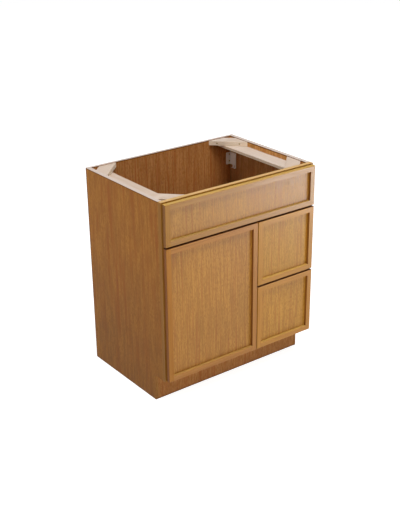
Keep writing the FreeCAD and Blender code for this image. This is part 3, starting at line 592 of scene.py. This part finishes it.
edgeSettings = {
    "boards": ("side_", "stile_", "rail_", "back_", "floor_", "kick_", "stringer_", "corner_"),
    "weld": 0.00001,
    "width": 0.0006,
    "segments": 2,
    "leastAngle": 40,
}


def easeEdges():
    # a worked edge on each board: its loose triangles are joined, then its sharp edges are rounded
    look = edgeSettings
    for name, board in nodes.items():
        if name.startswith(look["boards"]):
            weld = board.modifiers.new("joined", "WELD")
            weld.merge_threshold = look["weld"]
            bevel = board.modifiers.new("eased", "BEVEL")
            bevel.width = look["width"]
            bevel.segments = look["segments"]
            bevel.limit_method = "ANGLE"
            bevel.angle_limit = math.radians(look["leastAngle"])
            bevel.use_clamp_overlap = True


paintCase()
paintFrame()
paintFronts()
paintDrawers()
paintHardware()
easeEdges()
print("boards and hardware painted")


# screws and bumpers, as surfaces on grids

matchDecimals = 6  # of a metre; points of a solid that agree to so many are one
mergeDistance = 1e-7  # metres between points of a new surface that are made one


def looseParts(name):
    # the separate solids of a node: each vertex takes the lowest label that its triangles reach
    mesh = nodes[name].data
    points = np.empty(len(mesh.vertices) * 3)
    mesh.vertices.foreach_get("co", points)
    corners = np.empty(len(mesh.loops), dtype=int)
    mesh.loops.foreach_get("vertex_index", corners)
    points, same = np.unique(np.round(points.reshape(-1, 3), matchDecimals), axis=0, return_inverse=True)
    triangles = same.ravel()[corners].reshape(-1, 3)
    labels = np.arange(len(points))
    while True:
        lowest = labels[triangles].min(axis=1)
        reached = labels.copy()
        np.minimum.at(reached, triangles.ravel(), np.repeat(lowest, 3))
        if (reached == labels).all():
            break
        labels = reached
    return [points[labels == label] for label in np.unique(labels)]


def gridMesh(name, sheets, material, body, standsFor):
    # closed grids, each of rings by steps round, joined into one object; the points of a ring that
    # has no radius are merged into one
    vertices, faces, start = [], [], 0
    for sheet in sheets:
        rings, around = sheet.shape[:2]
        index = start + np.arange(rings * around).reshape(rings, around)
        following = np.roll(index, -1, axis=1)
        quads = np.stack([index[:-1], following[:-1], following[1:], index[1:]], axis=-1)
        faces.append(quads.reshape(-1, 4))
        vertices.append(sheet.reshape(-1, 3))
        start += rings * around
    mesh = bpy.data.meshes.new(name)
    mesh.from_pydata(np.concatenate(vertices).tolist(), [], np.concatenate(faces).tolist())
    work = bmesh.new()
    work.from_mesh(mesh)
    bmesh.ops.remove_doubles(work, verts=work.verts, dist=mergeDistance)
    work.to_mesh(mesh)
    work.free()
    mesh.polygons.foreach_set("use_smooth", np.ones(len(mesh.polygons), dtype=bool))
    mesh.materials.append(material)
    piece = bpy.data.objects.new(name, mesh)
    bpy.context.scene.collection.objects.link(piece)
    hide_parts(standsFor)
    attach(piece, body)


screwSettings = {
    "around": 28,
    "coreShare": 0.74,
    "threadPitch": 0.0018,
    "ringsPerPitch": 5,
    "pointPitches": 4,
    "headRadius": 0.0036,
    "shankRadius": 0.00175,
    "headHeight": 0.0018,
    "headRings": 22,
    "domeShare": 0.93,
    "crossHalfWidth": 0.00042,
    "crossReach": 0.0019,
    "crossDepth": 0.0011,
    "crossTaper": 0.6,
    "steep": 0.9,
    "colour": linear(200, 172, 122),
    "roughness": 0.42,
    "bodies": {"case_screws": "cabinet", "drawer_1_screws": "drawer_1", "drawer_2_screws": "drawer_2"},
}


def screwSheet(length):
    # radius against height: a thread whose ridge climbs one pitch a turn on a tapering core, then a
    # round head; the drive is pressed into the head where |x| or |y| is under the cross's half width
    look = screwSettings
    angle = np.linspace(0, 2 * np.pi, look["around"], endpoint=False)[None, :]
    depth = np.linspace(length, 0, int(length / look["threadPitch"] * look["ringsPerPitch"]))[:, None]
    taper = np.clip((length - depth) / (look["pointPitches"] * look["threadPitch"]), 0, 1)
    ridge = np.abs(((depth / look["threadPitch"] - angle / (2 * np.pi)) % 1) * 2 - 1) ** 2
    core = look["shankRadius"] * look["coreShare"]
    radius = taper * (core + (look["shankRadius"] - core) * ridge)
    heights = np.broadcast_to(-depth, radius.shape)
    shank = np.stack([radius * np.cos(angle), radius * np.sin(angle), heights], -1)
    share = np.linspace(0, 1, look["headRings"])[:, None]
    dome = look["headHeight"] * np.sqrt(np.clip(1 - (look["domeShare"] * (1 - share)) ** 2, 0, 1))
    rim = look["headRadius"] * (1 - share)
    headX, headY = rim * np.cos(angle), rim * np.sin(angle)
    inCross = (np.abs(headX) < look["crossHalfWidth"]) | (np.abs(headY) < look["crossHalfWidth"])
    inCross &= rim < look["crossReach"]
    pressed = look["crossDepth"] * inCross * (1 - rim / look["crossReach"] * look["crossTaper"])
    head = np.stack([headX, headY, np.broadcast_to(dome, headX.shape) - pressed], -1)
    under = np.stack([headX[:1], headY[:1], np.zeros_like(angle)], -1)
    return np.concatenate([shank, under, head])


def placedScrews(name):
    # one screw for each solid of the node, along the line that its points spread most, with its head
    # at the end where they reach widest; a steep screw is turned by the X axis, others by the Z axis
    look = screwSettings
    sheets = []
    for points in looseParts(name):
        centre = points.mean(axis=0)
        axis = np.linalg.eigh(np.cov((points - centre).T))[1][:, -1]
        heights = (points - centre) @ axis
        reach = np.linalg.norm(points - centre - heights[:, None] * axis, axis=1)
        if heights[reach.argmax()] < 0:
            axis, heights = -axis, -heights
        seat = heights.max() - look["headHeight"]
        side = np.cross(axis, [0.0, 0.0, 1.0] if abs(axis[2]) < look["steep"] else [1.0, 0.0, 0.0])
        side /= np.linalg.norm(side)
        turn = np.stack([side, np.cross(axis, side), axis])
        middle = (points.max(axis=0) + points.min(axis=0)) / 2
        start = middle + axis * (seat - (middle - centre) @ axis)
        sheets.append(screwSheet(seat - heights.min()) @ turn + start)
    return sheets


bumperSettings = {
    "around": 32,
    "rings": 12,
    "edgeShare": 0.35,
    "colour": linear(222, 222, 216),
    "roughness": 0.35,
}


def bumperSheet(low, high):
    # a low dome on a flat back: its height falls with the fourth power of the radius, from the
    # middle to the edge, where a share of it is left
    look = bumperSettings
    angle = np.linspace(0, 2 * np.pi, look["around"], endpoint=False)[None, :]
    share = np.linspace(1, 0, look["rings"])
    radius = np.concatenate([[0, 1], share])[:, None] * (high[0] - low[0]) / 2
    dome = 1 - (1 - look["edgeShare"]) * share ** 4
    rise = np.concatenate([[0, 0], dome])[:, None] * (high[1] - low[1])
    x = (low[0] + high[0]) / 2 + radius * np.cos(angle)
    z = (low[2] + high[2]) / 2 + radius * np.sin(angle)
    return np.stack([x, np.broadcast_to(high[1] - rise, x.shape), z], -1)


screwMetal = platedSteel("screwZinc", screwSettings["colour"], screwSettings["roughness"])
for node, body in screwSettings["bodies"].items():
    gridMesh(f"threaded_{node}", placedScrews(node), screwMetal, body, node)
bumperRubber = mouldedPlastic("bumperRubber", bumperSettings["colour"], bumperSettings["roughness"])
bumperSheets = [bumperSheet(points.min(axis=0), points.max(axis=0)) for points in looseParts("bumpers")]
gridMesh("domed_bumpers", bumperSheets, bumperRubber, "cabinet", "bumpers")
print("screws and bumpers made")


# studio

studioSettings = {
    "floorHalf": 35.0,
    "wallHeight": 30.0,
    "paperColour": (0.35, 0.35, 0.35, 1.0),
    "paperRoughness": 0.9,
    "white": (1.0, 1.0, 1.0, 1.0),
    "floorGlow": 0.93,
    "wallGlow": 1.05,
    "skyStrength": 0.15,
    "aim": (0.0, 0.0, 0.45),
}
lightSettings = {
    "keyLight": {"place": (0.1, -1.0, 5.0), "size": 3.0, "power": 250.0},
    "frontLight": {"place": (-0.6, -4.5, 3.2), "size": 2.0, "power": 14.0},
    "backLight": {"place": (0.5, 3.5, 3.5), "size": 2.0, "power": 30.0},
    "leftLight": {"place": (-4.0, 0.3, 2.4), "size": 2.0, "power": 24.0},
    "sheenLight": {"place": (1.65, -1.6, 0.45), "size": 0.85, "power": 45.0, "glossyOnly": True},
}


def areaLight(name, place, size, power, glossyOnly=False):
    data = bpy.data.lights.new(name, "AREA")
    data.shape = "SQUARE"
    data.size = size
    data.energy = power
    light = bpy.data.objects.new(name, data)
    aim = Vector(studioSettings["aim"]) - Vector(place)
    light.matrix_world = Matrix.Translation(place) @ aim.to_track_quat("-Z", "Y").to_matrix().to_4x4()
    light.visible_diffuse = not glossyOnly
    bpy.context.scene.collection.objects.link(light)
    return light


def glowingSheet(name, corners, faces, glow):
    # plain white paper that gives some light of its own
    look = studioSettings
    mesh = bpy.data.meshes.new(name)
    mesh.from_pydata(corners, [], faces)
    paper = Finish(f"{name}Paper", **{"Base Color": look["paperColour"], "Roughness": look["paperRoughness"],
                                      "Emission Color": look["white"], "Emission Strength": glow})
    mesh.materials.append(paper.material)
    sheet = bpy.data.objects.new(name, mesh)
    bpy.context.scene.collection.objects.link(sheet)
    return sheet


def makeStudio():
    look = studioSettings
    half, top = look["floorHalf"], look["wallHeight"]
    low = [(-half, -half, 0), (half, -half, 0), (half, half, 0), (-half, half, 0)]
    high = [(x, y, top) for x, y, _ in low]
    sides = [(0, 4, 5, 1), (1, 5, 6, 2), (2, 6, 7, 3), (3, 7, 4, 0)]
    floor = glowingSheet("studioFloor", low, [(0, 1, 2, 3)], look["floorGlow"])
    # the far walls only stand behind the picture, and add no light or reflections
    walls = glowingSheet("studioWalls", low + high, sides, look["wallGlow"])
    walls.visible_diffuse = walls.visible_glossy = walls.visible_shadow = False
    world = bpy.data.worlds.new("studioSky")
    world.use_nodes = True
    sky = world.node_tree.nodes["Background"]
    sky.inputs["Color"].default_value = look["white"]
    sky.inputs["Strength"].default_value = look["skyStrength"]
    bpy.context.scene.world = world
    [areaLight(name, **light) for name, light in lightSettings.items()]
    bpy.context.scene.view_settings.view_transform = "Standard"


# the place in metres, the turns in degrees, the lens and the sensor in millimetres
cameraSettings = {
    "place": (-2.2976, -3.06835, 2.1333),
    "heading": -36.68,
    "tilt": 66.03,
    "roll": -0.69,
    "lens": 66.59,
    "sensor": 36.0,
}


def makeCamera():
    look = cameraSettings
    data = bpy.data.cameras.new("photoCamera")
    data.lens = look["lens"]
    data.sensor_width = look["sensor"]
    item = bpy.data.objects.new("photoCamera", data)
    item.matrix_world = (Matrix.Translation(look["place"])
                         @ Matrix.Rotation(math.radians(look["heading"]), 4, "Z")
                         @ Matrix.Rotation(math.radians(look["tilt"]), 4, "X")
                         @ Matrix.Rotation(math.radians(look["roll"]), 4, "Z"))
    bpy.context.scene.collection.objects.link(item)
    bpy.context.scene.camera = item


makeStudio()
makeCamera()
print("studio and camera set")
